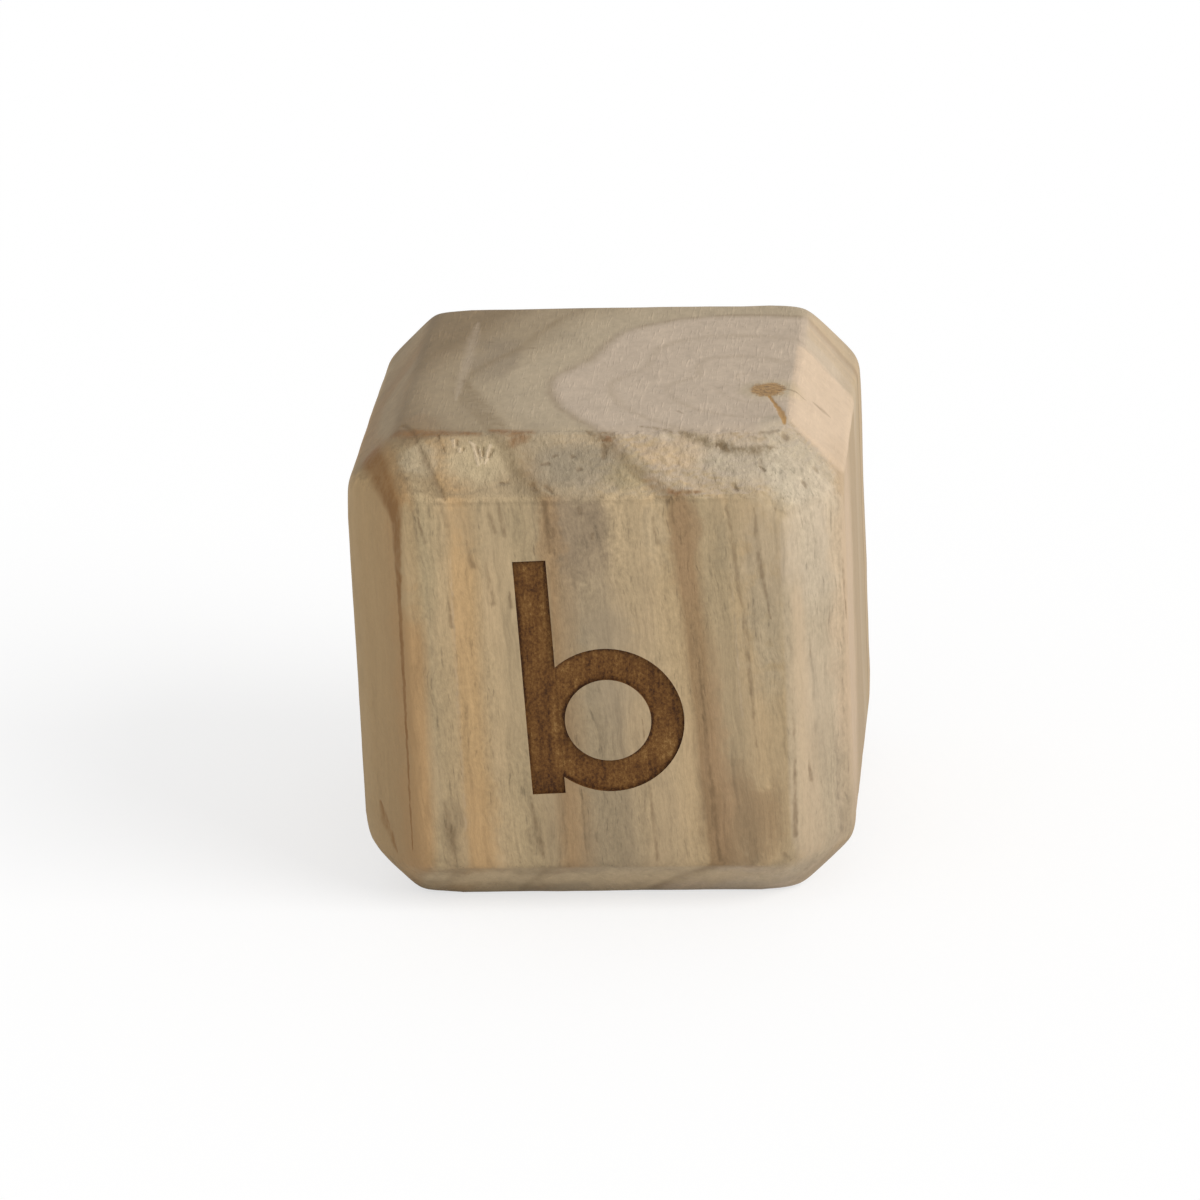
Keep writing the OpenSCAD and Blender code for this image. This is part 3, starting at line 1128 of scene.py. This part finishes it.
# ---------------------------------------------------------------- camera
# Where the camera is, in mm from the block's middle, and which way its right and its top point
CAMERA_AT = (53.78, -566.91, 215.21)
CAMERA_RIGHT = (0.9958, 0.0804, -0.0443)
CAMERA_UP = (0.0127, 0.3568, 0.9341)
# Focal length and width of a picture, both in pixels
FOCAL_PX = 6545
PICTURE_PX = 1200
SENSOR = 36
NEAREST = 0.01
FARTHEST = 10


def add_camera():
    """Put the camera in its place, turned to the block."""
    camera = bpy.data.cameras.new("camera")
    camera.sensor_width = SENSOR
    camera.lens = FOCAL_PX / PICTURE_PX * SENSOR
    camera.clip_start = NEAREST
    camera.clip_end = FARTHEST
    holder = bpy.data.objects.new("camera", camera)
    bpy.context.collection.objects.link(holder)
    right = Vector(CAMERA_RIGHT).normalized()
    up = Vector(CAMERA_UP).normalized()
    back = right.cross(up).normalized()
    turn = Matrix((right, up, back)).transposed().to_4x4()
    holder.matrix_world = Matrix.Translation(MIDDLE + Vector(CAMERA_AT) * MM) @ turn
    bpy.context.scene.camera = holder


# ---------------------------------------------------------------- floor and light
# A broad sun, where it shines from and how wide it is, and an even sky
KEY_FROM = Vector((0.75, -0.35, 0.55))
KEY_WIDTH = radians(40)
KEY_LIGHT = 0.60
SKY_LIGHT = 0.60
FLOOR_SIZE = 6
FLOOR_GREY = 0.9
FLOOR_ROUGHNESS = 0.9
# Share of the floor that is lit; the rest glows for the camera, so that plain floor comes out white
FLOOR_SHARE = 0.4
FLOOR_LIGHT = SKY_LIGHT + KEY_LIGHT * KEY_FROM.normalized().z
FLOOR_GLOW = (1 - FLOOR_SHARE * FLOOR_GREY * FLOOR_LIGHT) / (1 - FLOOR_SHARE)


def seen_directly(sheet):
    """1 for rays from the camera and for rays seen in gloss or through glass."""
    rays = [sheet.node("ShaderNodeLightPath", {}, {}, out=name)
            for name in ("Is Camera Ray", "Is Glossy Ray", "Is Transmission Ray")]
    return rays[0].greater(rays[1]).greater(rays[2])


def add_floor():
    """Lay a floor that is shaded under the block and plain white elsewhere."""
    select_none()
    bpy.ops.mesh.primitive_plane_add(size=FLOOR_SIZE)
    floor = bpy.context.object
    floor.name = "floor"
    sheet = Sheet(bpy.data.materials.new("pale_floor"))
    sheet.shader.inputs["Base Color"].default_value = grey(FLOOR_GREY)
    sheet.shader.inputs["Roughness"].default_value = FLOOR_ROUGHNESS
    sheet.shader.inputs["Specular IOR Level"].default_value = 0
    glow = sheet.node("ShaderNodeEmission", {}, {"Strength": FLOOR_GLOW})
    plain = Wire(sheet, sheet.shader.outputs[0])
    mixed = sheet.node("ShaderNodeMixShader", {},
                       {0: (1 - FLOOR_SHARE) * seen_directly(sheet), 1: plain, 2: glow})
    sheet.feed(sheet.tree.nodes["Material Output"].inputs["Surface"], mixed)
    floor.data.materials.append(sheet.owner)


def add_light():
    """Light the block by the sky, which looks white itself, and by the sun."""
    world = bpy.data.worlds.new("studio")
    bpy.context.scene.world = world
    sheet = Sheet(world)
    background = sheet.tree.nodes["Background"]
    background.inputs["Color"].default_value = grey(1)
    sheet.feed(background.inputs["Strength"], SKY_LIGHT + (1 - SKY_LIGHT) * seen_directly(sheet))

    key = bpy.data.lights.new("key", "SUN")
    key.energy = KEY_LIGHT * pi
    key.angle = KEY_WIDTH
    holder = bpy.data.objects.new("key", key)
    bpy.context.collection.objects.link(holder)
    holder.location = KEY_FROM
    holder.rotation_euler = KEY_FROM.to_track_quat("Z", "Y").to_euler()


add_camera()
build_block()
add_floor()
add_light()
bpy.context.scene.view_settings.view_transform = "Standard"
